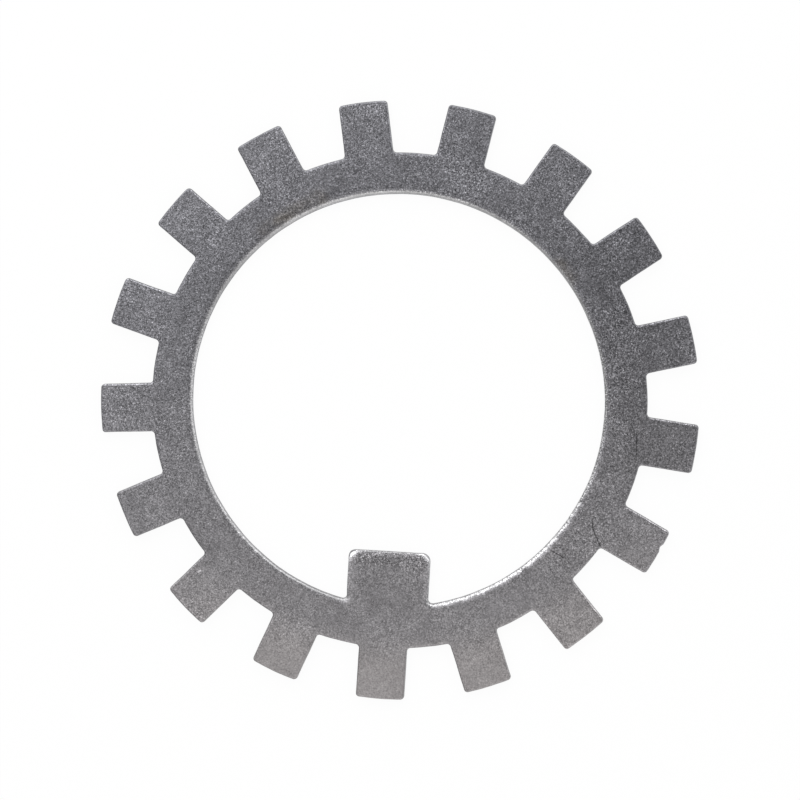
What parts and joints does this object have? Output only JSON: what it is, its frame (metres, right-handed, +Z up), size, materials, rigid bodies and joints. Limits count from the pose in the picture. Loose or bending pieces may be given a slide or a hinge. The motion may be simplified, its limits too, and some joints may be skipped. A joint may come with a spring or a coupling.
{
  "type": "toothed lock washer",
  "caption": "Flat stamped steel lock washer with parallel-sided locking tabs round its rim and one wide key tab in its bore that stops it turning on a slotted shaft.",
  "frame": {"origin": "on the axis of the bore, in the plane of the bottom face", "axes": "+Z up along the bore's axis, out of the face with the drawn-in bore edge; -Y through the middle of the key tab"},
  "size_m": [0.074, 0.0738, 0.0013],
  "materials": {
    "steel": "bare tumbled sheet steel, fine-grained satin grey"
  },
  "bodies": {
    "root": {"lock_washer": "steel"}
  },
  "joints": []
}
